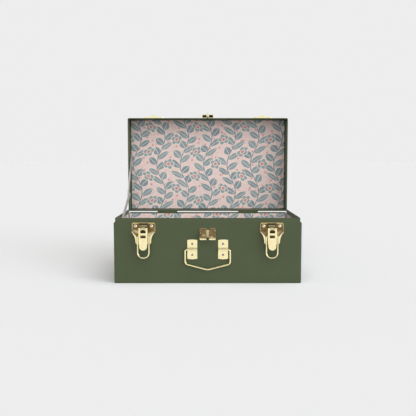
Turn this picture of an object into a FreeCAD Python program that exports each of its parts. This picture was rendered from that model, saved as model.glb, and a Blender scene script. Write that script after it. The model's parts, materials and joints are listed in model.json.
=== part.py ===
import FreeCAD
import Part

import math
import os

# A small sheet-steel keepsake trunk with brass fittings and a lined inside, standing with its lid open.
# Millimetres. X runs to the right, Y to the back and Z up. The origin is on the floor, under the middle
# of the base. The lid and what it carries are drawn closed and then swung open on the hinges.

# Trunk body
trunk_width = 330.0
trunk_depth = 192.0
corner_radius = 3.0
edge_radius = 2.0
cut_overrun = 5.0

# Base: a tray whose front and side walls step in to a neck that the lid drops over
base_sheet = 1.0
shoulder_height = 106.5
joggle_rise = 3.3
neck_inset = 2.4
neck_height = 5.7
neck_corner_radius = 2.5
neck_back_gap = 9.0
back_wall_rise = 2.0

# Lid: a pan with a hemmed rim, which stops above the shoulder when it is closed
lid_height = 41.0
lid_sheet = 0.9
hem_height = 6.0
hem_sheet = 0.9
lid_reveal = 2.8
lid_open_angle = 90.0

# Lining boards
lining_board = 1.2
lining_drop = 0.6

# Hinges on the back: two knuckles on the base's leaf, one between them on the lid's
hinge_inset = 81.0
hinge_width = 41.0
hinge_leaf_length = 17.0
hinge_leaf_sheet = 0.9
hinge_barrel_radius = 1.9
hinge_pin_radius = 0.9
hinge_axis_behind = 2.4
hinge_axis_rise = 1.5
hinge_knuckle_gap = 0.3
hinge_middle_knuckle = 14.0
hinge_rivet_spacing = 24.0
hinge_rivet_reach = 10.5

# Fits
running_clearance = 0.05
rivet_clearance = 0.03
swing_gap = 0.4

# Rivets with low domed heads
rivet_head_radius = 2.2
rivet_head_height = 1.0
rivet_shank_radius = 1.3

# Latch plate: a raised border, a field that ramps out going down, and two cheeks beside the lever
latch_inset = 53.0
latch_plate_width = 41.4
latch_plate_rise = 1.8
latch_plate_height = 38.3
latch_side_height = 16.0
latch_tail_width = 27.2
latch_tail_drop = 34.5
latch_waist_width = 30.4
latch_waist_drop = 24.7
latch_plate_corner = 3.5
latch_sheet = 1.2
latch_border_width = 1.5
latch_border_height = 1.8
latch_rivet_drop = 6.3
latch_rivet_spacing = 28.0
latch_pad_radius = 2.6
latch_ramp_share = 0.28
latch_slot_width = 12.0
latch_slot_drop = 2.7
latch_slot_height = 2.4
latch_bead_radius = 1.1
latch_bead_drop = 6.4
cheek_height = 9.0
cheek_tip = 1.2
cheek_bow = 0.4

# Latch lever, its pin, and the ears on the plate that hold the pin
lever_pin_radius = 1.3
lever_pin_drop = 11.6
lever_pin_out = 9.2
lever_width = 15.6
lever_sheet = 1.2
lever_web_out = 12.4
lever_head = 2.8
lever_flange_foot = 12.0
lever_length = 36.2
lever_rail = 3.2
lever_slot = 9.2
lever_cross_bar = 3.8
lever_window = 4.6
tongue_width = 13.8
tongue_length = 11.0
tongue_lift = 1.6
ear_radius = 3.0

# Latch loop, bent from one wire whose ends meet behind the lever
loop_wire_radius = 1.3
loop_pivot_drop = 12.3
loop_half_width = 9.8
loop_length = 37.5
loop_top_bend = 1.8
loop_end_bend = 9.0
loop_joint_gap = 0.5

# Latch strike on the lid
strike_width = 39.0
strike_height = 22.0
strike_sheet = 2.2
strike_corner = 2.5
strike_hook_width = 9.5
strike_hook_sheet = 1.2
strike_hook_lip = 6.0
strike_foot = 8.4
strike_rivet_spacing = 25.0
hook_room = 0.3

# Hasp: two ramped bridges on a plate, one pair below and one on the lid with an eye tongue between them
hasp_width = 27.6
hasp_height = 20.3
hasp_drop = 8.2
hasp_sheet = 1.0
hasp_depth = 8.0
hasp_lip = 3.4
hasp_gap = 4.4
hasp_notch = 3.5
hasp_lid_width = 22.0
hasp_lid_depth = 7.4
hasp_lid_rise = 1.2
hasp_tab_width = 4.0
hasp_tab_height = 1.6
hasp_tab_spacing = 15.0
hasp_tongue = 2.4
hasp_tongue_end = 1.4
hasp_eye_radius = 2.1
hasp_eye_rise = 5.4
hasp_eye_out = 3.7
hasp_tongue_corner = 2.4

# Handle: two clips with a barrel each, and a bail bent from one wire
clip_spacing = 54.0
clip_width = 17.5
clip_height = 33.4
clip_top_drop = 29.3
clip_bow = 0.8
clip_sheet = 1.2
clip_rivet_spacing = 19.6
bail_wall = 1.25
bail_wire_radius = 1.5
bail_axis_out = 2.9
bail_half_width = 39.5
bail_drop = 25.5
bail_vertex_drop = 35.8
bail_shoulder_bend = 3.2
bail_corner_bend = 6.0
bail_vertex_bend = 14.0
bail_end_inset = 2.0

# Lid stay on the left: two flat arms with an elbow
stay_lid_reach = 114.9
stay_lid_depth = 31.6
stay_base_reach = 143.1
stay_base_drop = 8.2
stay_elbow_share = 0.4234
stay_elbow_sag = 30.3
stay_arm_width = 10.0
stay_arm_thickness = 1.9
stay_wall_gap = 0.3
stay_arm_gap = 0.3
stay_pin_radius = 2.0
stay_collar_radius = 4.0
stay_head_height = 0.9
stay_head_gap = 0.1

# Worked out from the sizes above
vec = FreeCAD.Vector
half_width = trunk_width / 2
half_depth = trunk_depth / 2
joggle_top = shoulder_height + joggle_rise
neck_top = joggle_top + neck_height
back_wall_top = shoulder_height + back_wall_rise
rim_height = shoulder_height + lid_reveal
lid_top = rim_height + lid_height
hinge_spacing = trunk_width - 2 * hinge_inset
hinge_y = half_depth + hinge_axis_behind
hinge_z = shoulder_height + hinge_axis_rise
latch_spacing = trunk_width - 2 * latch_inset
latch_top = shoulder_height + latch_plate_rise
latch_rivet_out = latch_sheet + latch_ramp_share * (latch_rivet_drop - latch_border_width)
lever_pin_z = latch_top - lever_pin_drop
loop_pivot_z = lever_pin_z - loop_pivot_drop
hook_wire_out = strike_sheet + hook_room / 2 + loop_wire_radius
hook_wire_z = loop_pivot_z + math.sqrt(loop_length**2 - (lever_pin_out - hook_wire_out) ** 2)
hook_overhang = strike_hook_width / 2 - (loop_half_width - loop_end_bend)
loop_inner_bend = loop_end_bend - loop_wire_radius
hook_sag = loop_inner_bend - math.sqrt(loop_inner_bend**2 - hook_overhang**2)
hook_floor = hook_wire_z - loop_wire_radius - hook_sag
strike_bottom = hook_floor - strike_foot
hasp_top = shoulder_height - hasp_drop
hasp_bottom = hasp_top - hasp_height
clip_top = shoulder_height - clip_top_drop
bail_axis_z = clip_top - clip_height / 2
sides = {"left": -1, "right": 1}


def block(x0, x1, y0, y1, z0, z1):
    return Part.makeBox(x1 - x0, y1 - y0, z1 - z0, vec(x0, y0, z0))


def rod(start, end, radius):
    along = end - start
    return Part.makeCylinder(radius, along.Length, start, along)


def line(start, end):
    return Part.LineSegment(start, end).toShape()


def arc(start, middle, end):
    return Part.Arc(start, middle, end).toShape()


def prism(edges, along):
    return Part.Face(Part.Wire(edges)).extrude(along)


def polygon(points):
    return [line(a, b) for a, b in zip(points, points[1:] + points[:1])]


def joined(shapes):
    return shapes[0].multiFuse(shapes[1:]).removeSplitter()


def on_front(out, z):
    """A point in the plane across the trunk, so far out from the front wall and so high."""
    return vec(0, -half_depth - out, z)


def rounded_corner(corner, before, after, radius):
    """Where the rounding of a corner starts, its middle, and where it ends."""
    a = (before - corner).normalize()
    b = (after - corner).normalize()
    half = a.getAngle(b) / 2
    run = radius / math.tan(half)
    rise = radius / math.sin(half) - radius
    return corner + a * run, corner + (a + b).normalize() * rise, corner + b * run


def rounded_outline(points, radius):
    """A closed outline through the points, with every corner rounded alike."""
    count = len(points)
    turns = [
        rounded_corner(points[i], points[i - 1], points[(i + 1) % count], radius) for i in range(count)
    ]
    edges = []
    for turn, following in zip(turns, turns[1:] + turns[:1]):
        edges.append(arc(*turn))
        edges.append(line(turn[2], following[0]))
    return edges


def rectangle(width, depth, height):
    x = width / 2
    y = depth / 2
    return [vec(-x, -y, height), vec(x, -y, height), vec(x, y, height), vec(-x, y, height)]


def front_rectangle(width, bottom, top):
    x = width / 2
    return [
        vec(-x, -half_depth, bottom),
        vec(x, -half_depth, bottom),
        vec(x, -half_depth, top),
        vec(-x, -half_depth, top),
    ]


def pan(width, depth, height, corner, edge):
    """A block with rounded corners, standing on a face with rounded edges."""
    solid = prism(rounded_outline(rectangle(width, depth, 0), corner), vec(0, 0, height))
    foot = [e for e in solid.Edges if e.BoundBox.ZMax < edge]
    return solid.makeFillet(edge, foot)


def open_pan(width, depth, height, corner, edge, sheet):
    outside = pan(width, depth, height, corner, edge)
    inside = pan(width - 2 * sheet, depth - 2 * sheet, height, corner - sheet, edge - sheet)
    inside.translate(vec(0, 0, sheet))
    return outside.cut(inside)


def side_strip(points, sheet, x0, x1):
    """Sheet bent along a path in the plane across the trunk, on the path's left, from x0 to x1."""
    ways = [(b - a).normalize() for a, b in zip(points, points[1:])]
    normals = [way.cross(vec(1, 0, 0)) for way in ways]
    other_side = []
    for i, point in enumerate(points):
        before = normals[max(i - 1, 0)]
        after = normals[min(i, len(normals) - 1)]
        bisector = (before + after).normalize()
        other_side.append(point + bisector * (sheet / bisector.dot(before)))
    outline = polygon(points + other_side[::-1])
    solid = prism(outline, vec(x1 - x0, 0, 0))
    solid.translate(vec(x0, 0, 0))
    return solid


def bent_wire(points, bends, wire_radius):
    """Round wire along the points, with an arc at each point between the ends."""
    edges = []
    start = points[0]
    for before, corner, after, bend in zip(points, points[1:], points[2:], bends):
        turn = rounded_corner(corner, before, after, bend)
        edges.append(line(start, turn[0]))
        edges.append(arc(*turn))
        start = turn[2]
    edges.append(line(start, points[-1]))
    end_circle = Part.Wire(Part.makeCircle(wire_radius, points[0], points[1] - points[0]))
    return Part.Wire(edges).makePipeShell([end_circle], True, False)


def rivet(seat, out, shank_length):
    """A rivet whose domed head stands out from its seat and whose shank goes the other way."""
    head = rivet_head_radius
    dome = (head**2 + rivet_head_height**2) / (2 * rivet_head_height)
    lean = math.asin(head / dome) / 2
    shoulder = vec(dome * math.sin(lean), 0, rivet_head_height - dome + dome * math.cos(lean))
    foot = vec(0, 0, -shank_length)
    shank_end = vec(rivet_shank_radius, 0, -shank_length)
    shank_start = vec(rivet_shank_radius, 0, 0)
    rim = vec(head, 0, 0)
    tip = vec(0, 0, rivet_head_height)
    edges = [
        line(foot, shank_end),
        line(shank_end, shank_start),
        line(shank_start, rim),
        arc(rim, shoulder, tip),
        line(tip, foot),
    ]
    solid = Part.Face(Part.Wire(edges)).revolve(vec(0, 0, 0), vec(0, 0, 1), 360)
    solid.Placement = FreeCAD.Placement(seat, FreeCAD.Rotation(vec(0, 0, 1), out))
    return solid


def rivet_holes(seats, out, depth):
    """What is drilled for a row of rivets, from a little outside their seats to their depth."""
    radius = rivet_shank_radius + rivet_clearance
    return [rod(seat + out * cut_overrun, seat - out * depth, radius) for seat in seats]


def drilled(shape, holes):
    return shape.cut(Part.makeCompound(holes))


def swung_open(shape):
    """Turns a piece of the closed lid about the hinge pins to where the open lid carries it."""
    turned = shape.copy()
    turned.rotate(vec(0, hinge_y, hinge_z), vec(1, 0, 0), -lid_open_angle)
    return turned


def export(name, shape):
    shape.exportStep(f"parts/{name}.step")


# Places of the rivets, each a point on the plate that the head sits on
front = vec(0, -1, 0)
back = vec(0, 1, 0)


def latch_rivet_seats(x):
    y = -half_depth - latch_rivet_out
    z = latch_top - latch_rivet_drop
    return [vec(x + s * latch_rivet_spacing / 2, y, z) for s in sides.values()]


def clip_rivet_seats(x):
    y = -half_depth - clip_sheet
    return [vec(x, y, bail_axis_z + s * clip_rivet_spacing / 2) for s in sides.values()]


def strike_rivet_seats(x):
    y = -half_depth - strike_sheet
    z = strike_bottom + strike_height / 2
    return [vec(x + s * strike_rivet_spacing / 2, y, z) for s in sides.values()]


def hinge_rivet_seats(x, up):
    y = half_depth + hinge_leaf_sheet
    z = hinge_z + up * hinge_rivet_reach
    return [vec(x + s * hinge_rivet_spacing / 2, y, z) for s in sides.values()]


def hasp_tab_slots(middle, clearance):
    """The two clinched tabs of a hasp half, or with a clearance the slots they go through."""
    reach_x = hasp_tab_width / 2 + clearance
    reach_z = hasp_tab_height / 2 + clearance
    tabs = []
    for s in sides.values():
        x = s * hasp_tab_spacing / 2
        tabs.append((x - reach_x, x + reach_x, middle - reach_z, middle + reach_z))
    return tabs


def neck_ring(inset):
    """The joggle and neck as a filled form, shrunk by an inset from their outer faces."""
    levels = [
        (shoulder_height, 0, corner_radius),
        (joggle_top, neck_inset, neck_corner_radius),
        (neck_top, neck_inset, neck_corner_radius),
    ]
    wires = []
    for height, step, radius in levels:
        width = trunk_width - 2 * (step + inset)
        depth = trunk_depth - 2 * (step + inset)
        wires.append(Part.Wire(rounded_outline(rectangle(width, depth, height), radius - inset)))
    return Part.makeLoft(wires, True, True)


def base_shell():
    tray = open_pan(trunk_width, trunk_depth, shoulder_height, corner_radius, edge_radius, base_sheet)
    neck = neck_ring(0).cut(neck_ring(base_sheet))
    kept = block(
        -half_width, half_width, -half_depth, half_depth - neck_back_gap, shoulder_height, neck_top
    )
    straight = half_width - corner_radius
    back_edge = block(
        -straight, straight, half_depth - base_sheet, half_depth, shoulder_height, back_wall_top
    )
    shell = joined([tray, neck.common(kept), back_edge])
    holes = []
    for side in sides.values():
        holes += rivet_holes(latch_rivet_seats(side * latch_spacing / 2), front, cut_overrun)
        holes += rivet_holes(clip_rivet_seats(side * clip_spacing / 2), front, cut_overrun)
        holes += rivet_holes(hinge_rivet_seats(side * hinge_spacing / 2, -1), back, cut_overrun)
    for x0, x1, z0, z1 in hasp_tab_slots((hasp_top + hasp_bottom) / 2, rivet_clearance):
        holes.append(block(x0, x1, -half_depth - cut_overrun, -half_depth + cut_overrun, z0, z1))
    return drilled(shell, holes)


def flat_board(half_x, half_y, bottom, corner):
    outline = rounded_outline(rectangle(2 * half_x, 2 * half_y, bottom), corner)
    return prism(outline, vec(0, 0, lining_board))


def base_linings():
    """Boards against the inside of the base: the floor first, then the four walls standing on it."""
    x = half_width - base_sheet
    y = half_depth - base_sheet
    corner = corner_radius - base_sheet
    floor_edge = edge_radius - base_sheet
    low = base_sheet + lining_board
    high = shoulder_height - lining_drop
    linings = {
        "floor": flat_board(x - floor_edge, y - floor_edge, base_sheet, corner),
        "front": block(-x + corner, x - corner, -y, -y + lining_board, low, high),
        "back": block(-x + corner, x - corner, y - lining_board, y, low, high),
        "left": block(-x, -x + lining_board, -y + corner, y - corner, low, high),
        "right": block(x - lining_board, x, -y + corner, y - corner, low, high),
    }
    pivot = stay_base_pivot()
    way_in = vec(lining_board + cut_overrun, 0, 0)
    wall = vec(-x, pivot.y, pivot.z)
    stud_hole = rod(wall, wall + way_in, stay_collar_radius + rivet_clearance)
    linings["left"] = linings["left"].cut(stud_hole)
    return linings


def lid_shell():
    """The lid as it lies closed: a pan turned over, with its rim folded in."""
    shell = open_pan(trunk_width, trunk_depth, lid_height, corner_radius, edge_radius, lid_sheet)
    fold_width = trunk_width - 2 * lid_sheet
    fold_depth = trunk_depth - 2 * lid_sheet
    fold_corner = corner_radius - lid_sheet
    start = lid_height - hem_height
    along = vec(0, 0, hem_height)
    outline = rounded_outline(rectangle(fold_width, fold_depth, start), fold_corner)
    opening = rounded_outline(
        rectangle(fold_width - 2 * hem_sheet, fold_depth - 2 * hem_sheet, start), fold_corner - hem_sheet
    )
    shell = joined([shell, prism(outline, along).cut(prism(opening, along))])
    shell.rotate(vec(0, 0, 0), vec(1, 0, 0), 180)
    shell.translate(vec(0, 0, lid_top))
    holes = []
    for side in sides.values():
        holes += rivet_holes(strike_rivet_seats(side * latch_spacing / 2), front, cut_overrun)
        holes += rivet_holes(hinge_rivet_seats(side * hinge_spacing / 2, 1), back, cut_overrun)
    for x0, x1, z0, z1 in hasp_tab_slots(hasp_lid_middle(), rivet_clearance):
        holes.append(block(x0, x1, -half_depth - cut_overrun, -half_depth + cut_overrun, z0, z1))
    return drilled(shell, holes)


def lid_lining_panel():
    """The board under the top of the closed lid, whose walls stay bare."""
    half_x = half_width - edge_radius
    half_y = half_depth - edge_radius
    bottom = lid_top - lid_sheet - lining_board
    return flat_board(half_x, half_y, bottom, corner_radius - lid_sheet)


def hinge_knuckles(x, zones, radius):
    return [rod(vec(x + a, hinge_y, hinge_z), vec(x + b, hinge_y, hinge_z), radius) for a, b in zones]


def hinge_leaf(x, up):
    """One leaf of a hinge with its knuckles: up is 1 on the lid and -1 on the base."""
    end = hinge_width / 2
    inner = hinge_middle_knuckle / 2
    outer_zones = [(-end, -inner - hinge_knuckle_gap), (inner + hinge_knuckle_gap, end)]
    middle_zones = [(-inner, inner)]
    own, other = (middle_zones, outer_zones) if up > 0 else (outer_zones, middle_zones)
    y0 = half_depth
    y1 = half_depth + hinge_leaf_sheet
    far = hinge_z + up * hinge_leaf_length
    near = hinge_z + up * (hinge_barrel_radius + swing_gap)
    plate = block(x - end, x + end, y0, y1, min(hinge_z, far), max(hinge_z, far))
    notches = []
    for a, b in other:
        x0 = x + a - hinge_knuckle_gap
        x1 = x + b + hinge_knuckle_gap
        notches.append(block(x0, x1, y0, y1, min(hinge_z, near), max(hinge_z, near)))
    leaf = joined([drilled(plate, notches)] + hinge_knuckles(x, own, hinge_barrel_radius))
    bore = hinge_knuckles(x, [(-end, end)], hinge_pin_radius + running_clearance)
    seats = hinge_rivet_seats(x, up)
    return drilled(leaf, bore + rivet_holes(seats, back, cut_overrun))


def hinge_pin(x):
    return hinge_knuckles(x, [(-hinge_width / 2, hinge_width / 2)], hinge_pin_radius)[0]


def front_point(x, z):
    return vec(x, -half_depth, z)


def latch_side():
    """The right-hand side of the plate and of its cheek, going up: the slanted foot, then the waist."""
    inner = front_point(loop_half_width + loop_wire_radius + swing_gap, latch_top - latch_plate_height)
    tail = front_point(latch_tail_width / 2, latch_top - latch_tail_drop)
    waist = front_point(latch_waist_width / 2, latch_top - latch_waist_drop)
    corner = front_point(latch_plate_width / 2, latch_top - latch_side_height)
    return inner, tail, waist, corner


def latch_outline():
    """The plate seen from the front: straight sides, then a waist that curves in to the foot."""
    right = latch_side()
    left = [vec(-p.x, p.y, p.z) for p in right]
    top_right = front_point(latch_plate_width / 2, latch_top)
    top_left = front_point(-latch_plate_width / 2, latch_top)
    right_turn = rounded_corner(top_right, right[-1], top_left, latch_plate_corner)
    left_turn = rounded_corner(top_left, top_right, left[-1], latch_plate_corner)
    return [
        line(left[0], right[0]),
        line(right[0], right[1]),
        arc(*right[1:]),
        line(right[-1], right_turn[0]),
        arc(*right_turn),
        line(right_turn[2], left_turn[0]),
        arc(*left_turn),
        line(left_turn[2], left[-1]),
        arc(*left[:0:-1]),
        line(left[1], left[0]),
    ]


def latch_cheek():
    """The right-hand cheek: a crescent that follows the waist, from a narrow tip down to the foot."""
    inner, tail, waist, corner = latch_side()
    tip = corner - vec(cheek_tip, 0, 0)
    turn = vec(inner.x, inner.y, waist.z)
    chord = tip - turn
    bow = vec(-chord.z, 0, chord.x).normalize() * cheek_bow
    edges = [
        line(inner, tail),
        arc(tail, waist, corner),
        line(corner, tip),
        arc(tip, (tip + turn) * (1 / 2) + bow, turn),
        line(turn, inner),
    ]
    return prism(edges, vec(0, -cheek_height, 0))


def latch_field(pocket):
    """The field beside the lever: it ramps out of the plate from the border down to the loop's bar."""
    top = latch_top - latch_border_width
    low = loop_pivot_z
    far = latch_sheet + latch_ramp_share * (top - low)
    profile = [on_front(0, low), on_front(far, low), on_front(latch_sheet, top), on_front(0, top)]
    ramp = prism(polygon(profile), vec(latch_plate_width, 0, 0))
    ramp.translate(vec(-latch_plate_width / 2, 0, 0))
    ramp = ramp.common(prism(latch_outline(), vec(0, -cheek_height, 0))).common(pocket)
    way = lever_width / 2 + swing_gap
    channel = block(-way, way, -half_depth - cheek_height, -half_depth, low, top)
    sunk = [rod(seat, seat + front * cut_overrun, latch_pad_radius) for seat in latch_rivet_seats(0)]
    pads = [rod(seat, vec(seat.x, -half_depth, seat.z), latch_pad_radius) for seat in latch_rivet_seats(0)]
    return [drilled(ramp, [channel] + sunk)] + pads


def latch_ear(inner, outer):
    """An upright ear on the plate with a round nose and the lever pin's hole through it."""
    pin = on_front(lever_pin_out, lever_pin_z)
    stem = block(inner, outer, pin.y, -half_depth, lever_pin_z - ear_radius, lever_pin_z + ear_radius)
    nose = rod(pin + vec(inner, 0, 0), pin + vec(outer, 0, 0), ear_radius)
    hole = rod(
        pin + vec(inner - cut_overrun, 0, 0),
        pin + vec(outer + cut_overrun, 0, 0),
        lever_pin_radius + rivet_clearance,
    )
    return stem.fuse(nose).cut(hole)


def mirrored(shape):
    return shape.mirror(vec(0, 0, 0), vec(1, 0, 0))


def latch_plate():
    sheet = prism(latch_outline(), vec(0, -latch_sheet, 0))
    raised = prism(latch_outline(), vec(0, -latch_sheet - latch_border_height, 0))
    half = latch_plate_width / 2
    low = latch_top - latch_plate_height
    inside = front_rectangle(
        latch_plate_width - 2 * latch_border_width, low - latch_plate_corner, latch_top - latch_border_width
    )
    pocket = prism(
        rounded_outline(inside, latch_plate_corner - latch_border_width), vec(0, -cheek_height, 0)
    )
    below = block(-half, half, -half_depth - cheek_height, -half_depth, low, latch_top - latch_side_height)
    border = drilled(raised, [pocket, below])
    cheek = latch_cheek()
    ear_outer = lever_width / 2 - lever_rail - swing_gap
    ear = latch_ear(ear_outer - latch_sheet, ear_outer)
    ear_top = lever_pin_z + ear_radius
    ear_web = block(
        -ear_outer, ear_outer, -half_depth - lever_pin_out, -half_depth, ear_top - latch_sheet, ear_top
    )
    bead_middle = on_front(latch_sheet, latch_top - latch_bead_drop)
    reach = vec(latch_slot_width / 2, 0, 0)
    bead = rod(bead_middle - reach, bead_middle + reach, latch_bead_radius)
    slot_top = latch_top - latch_slot_drop
    slot = block(
        -latch_slot_width / 2,
        latch_slot_width / 2,
        -half_depth - cut_overrun,
        -half_depth,
        slot_top - latch_slot_height,
        slot_top,
    )
    pieces = [sheet, border, cheek, mirrored(cheek), ear, mirrored(ear), ear_web, bead]
    plate = joined(pieces + latch_field(pocket))
    return drilled(plate, [slot] + rivet_holes(latch_rivet_seats(0), front, cut_overrun))


def lever_pin():
    reach = lever_width / 2
    middle = on_front(lever_pin_out, lever_pin_z)
    return rod(middle - vec(reach, 0, 0), middle + vec(reach, 0, 0), lever_pin_radius)


def lever_outline():
    """The lever seen from the front: a plate that steps in to a tongue with a round end."""
    half = lever_width / 2
    tip = tongue_width / 2
    top = lever_pin_z + lever_head
    bottom = lever_pin_z - lever_length
    step = bottom + tongue_length
    round_start = bottom + tip
    foot = step - (half - tip)
    return [
        arc(front_point(-tip, round_start), front_point(0, bottom), front_point(tip, round_start)),
        line(front_point(tip, round_start), front_point(tip, foot)),
        line(front_point(tip, foot), front_point(half, step)),
        line(front_point(half, step), front_point(half, top)),
        line(front_point(half, top), front_point(-half, top)),
        line(front_point(-half, top), front_point(-half, step)),
        line(front_point(-half, step), front_point(-tip, foot)),
        line(front_point(-tip, foot), front_point(-tip, round_start)),
    ]


def lever_flange():
    """One side of the lever's channel, round the pin at its top and tapered below the loop's bar."""
    web = lever_web_out - lever_sheet / 2
    back = lever_pin_out - lever_head
    top = lever_pin_z + lever_head
    lean = lever_head * math.sqrt(1 / 2)
    heel = loop_pivot_z - loop_wire_radius - lever_sheet
    foot = loop_pivot_z - lever_flange_foot
    return [
        line(on_front(web, foot), on_front(web, top)),
        line(on_front(web, top), on_front(lever_pin_out, top)),
        arc(
            on_front(lever_pin_out, top),
            on_front(lever_pin_out - lean, lever_pin_z + lean),
            on_front(back, lever_pin_z),
        ),
        line(on_front(back, lever_pin_z), on_front(back, heel)),
        line(on_front(back, heel), on_front(web, foot)),
    ]


def latch_lever():
    """A channel whose web, to the front, is slotted over the ears, so that the pin shows there."""
    half = lever_width / 2
    top = lever_pin_z + lever_head
    bottom = lever_pin_z - lever_length
    path = [
        on_front(lever_web_out, top),
        on_front(lever_web_out, bottom + tongue_length),
        on_front(lever_web_out + tongue_lift, bottom),
    ]
    web = side_strip(path, -lever_sheet, -half, half)
    web = web.common(prism(lever_outline(), vec(0, -lever_web_out - cut_overrun, 0)))
    open_half = half - lever_rail
    front_y = -half_depth - lever_web_out
    slot_end = top - lever_slot
    window_top = slot_end - lever_cross_bar
    openings = [
        block(-open_half, open_half, front_y, front_y + lever_sheet, slot_end, top),
        block(-open_half, open_half, front_y, front_y + lever_sheet, window_top - lever_window, window_top),
    ]
    flange = prism(lever_flange(), vec(lever_sheet, 0, 0))
    flange.translate(vec(half - lever_sheet, 0, 0))
    lever = joined([drilled(web, openings), flange, mirrored(flange)])
    holes = []
    fits = {lever_pin_z: lever_pin_radius, loop_pivot_z: loop_wire_radius}
    for height, radius in fits.items():
        middle = on_front(lever_pin_out, height)
        reach = vec(half + cut_overrun, 0, 0)
        holes.append(rod(middle - reach, middle + reach, radius + running_clearance))
    return drilled(lever, holes)


def latch_loop():
    """The wire starts and ends in the middle of the bar that turns in the lever."""
    x = loop_half_width
    end = loop_joint_gap / 2
    top = on_front(lever_pin_out, loop_pivot_z)
    bottom = on_front(lever_pin_out, loop_pivot_z - loop_length)
    points = [
        top - vec(end, 0, 0),
        top - vec(x, 0, 0),
        bottom - vec(x, 0, 0),
        bottom + vec(x, 0, 0),
        top + vec(x, 0, 0),
        top + vec(end, 0, 0),
    ]
    bends = [loop_top_bend, loop_end_bend, loop_end_bend, loop_top_bend]
    return bent_wire(points, bends, loop_wire_radius)


def latch_strike():
    """A riveted plate with a hook that stands up from it for the wire loop."""
    plate = prism(
        rounded_outline(
            front_rectangle(strike_width, strike_bottom, strike_bottom + strike_height), strike_corner
        ),
        vec(0, -strike_sheet, 0),
    )
    half = strike_hook_width / 2
    far = strike_sheet + hook_room + 2 * loop_wire_radius + strike_hook_sheet
    path = [
        on_front(0, hook_floor - strike_hook_sheet),
        on_front(far, hook_floor - strike_hook_sheet),
        on_front(far, hook_floor + strike_hook_lip),
    ]
    hook = side_strip(path, strike_hook_sheet, -half, half)
    return drilled(joined([plate, hook]), rivet_holes(strike_rivet_seats(0), front, cut_overrun))


def hasp_bridges(width, bottom, depth, turned_back):
    """Two straps that ramp out from the plate going down to a lip, which may turn back to the plate."""
    top = bottom + hasp_height
    path = [on_front(hasp_sheet, top), on_front(depth, bottom + hasp_lip), on_front(depth, bottom)]
    if turned_back:
        path.append(on_front(0, bottom))
    strap = side_strip(path, -hasp_sheet, hasp_gap / 2, width / 2)
    return [strap, mirrored(strap)]


def hasp_plate(width, bottom, wall):
    """A notched plate with two tabs clinched through the wall behind it."""
    half = width / 2
    gap = hasp_gap / 2
    top = bottom + hasp_height
    plate = block(-half, half, -half_depth - hasp_sheet, -half_depth, bottom, top)
    notches = [
        block(-gap, gap, -half_depth - cut_overrun, -half_depth, top - hasp_notch, top + cut_overrun),
        block(-gap, gap, -half_depth - cut_overrun, -half_depth, bottom - cut_overrun, bottom + hasp_notch),
    ]
    tabs = []
    for x0, x1, z0, z1 in hasp_tab_slots((bottom + top) / 2, 0):
        tabs.append(block(x0, x1, -half_depth, -half_depth + wall, z0, z1))
    return [drilled(plate, notches)] + tabs


def hasp_base():
    plate = hasp_plate(hasp_width, hasp_bottom, base_sheet)
    return joined(plate + hasp_bridges(hasp_width, hasp_bottom, hasp_depth, True))


def hasp_lid_bottom():
    return rim_height + hasp_lid_rise


def hasp_lid_middle():
    return hasp_lid_bottom() + hasp_height / 2


def hasp_tongue_plate():
    """The eye tongue: it stands between the lid's bridges and reaches down past the rim to the lower half."""
    low = hasp_bottom + hasp_tongue_end
    bottom = hasp_lid_bottom()
    root = bottom + hasp_height - hasp_notch
    inner = hasp_sheet + swing_gap
    outline = [
        on_front(0, root),
        on_front(0, bottom + hasp_notch),
        on_front(inner, bottom),
        on_front(inner, low),
        on_front(hasp_lid_depth, low),
        on_front(hasp_lid_depth, bottom + hasp_lip),
        on_front(hasp_sheet, root),
    ]
    plate = prism(polygon(outline), vec(hasp_tongue, 0, 0))
    plate.translate(vec(-hasp_tongue / 2, 0, 0))
    tip = on_front(hasp_lid_depth, low)
    end_corner = [e for e in plate.Edges if e.CenterOfMass.distanceToPoint(tip) < swing_gap]
    plate = plate.makeFillet(hasp_tongue_corner, end_corner)
    eye = on_front(hasp_eye_out, hasp_bottom + hasp_eye_rise)
    reach = vec(hasp_tongue / 2 + cut_overrun, 0, 0)
    return plate.cut(rod(eye - reach, eye + reach, hasp_eye_radius))


def hasp_lid():
    bottom = hasp_lid_bottom()
    plate = hasp_plate(hasp_lid_width, bottom, lid_sheet)
    bridges = hasp_bridges(hasp_lid_width, bottom, hasp_lid_depth, False)
    return joined(plate + bridges + [hasp_tongue_plate()])


def handle_clip():
    """A plate with bowed ends and a barrel across its middle for the bail's end."""
    half = clip_width / 2
    bottom = clip_top - clip_height
    corners = front_rectangle(clip_width, bottom, clip_top)
    edges = [
        arc(corners[0], front_point(0, bottom - clip_bow), corners[1]),
        line(corners[1], corners[2]),
        arc(corners[2], front_point(0, clip_top + clip_bow), corners[3]),
        line(corners[3], corners[0]),
    ]
    plate = prism(edges, vec(0, -clip_sheet, 0))
    middle = on_front(bail_axis_out, bail_axis_z)
    reach = vec(half, 0, 0)
    over = vec(half + cut_overrun, 0, 0)
    barrel = rod(middle - reach, middle + reach, bail_wire_radius + bail_wall)
    bore = rod(middle - over, middle + over, bail_wire_radius + running_clearance)
    holes = rivet_holes(clip_rivet_seats(0), front, cut_overrun)
    return drilled(joined([plate, barrel]), [bore] + holes)


def handle_bail():
    axis = on_front(bail_axis_out, bail_axis_z)
    inner = clip_spacing / 2 - clip_width / 2 + bail_end_inset
    corner = axis - vec(0, 0, bail_drop)
    points = [
        axis - vec(inner, 0, 0),
        axis - vec(bail_half_width, 0, 0),
        corner - vec(bail_half_width, 0, 0),
        axis - vec(0, 0, bail_vertex_drop),
        corner + vec(bail_half_width, 0, 0),
        axis + vec(bail_half_width, 0, 0),
        axis + vec(inner, 0, 0),
    ]
    bends = [
        bail_shoulder_bend,
        bail_corner_bend,
        bail_vertex_bend,
        bail_corner_bend,
        bail_shoulder_bend,
    ]
    return bent_wire(points, bends, bail_wire_radius)


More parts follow.
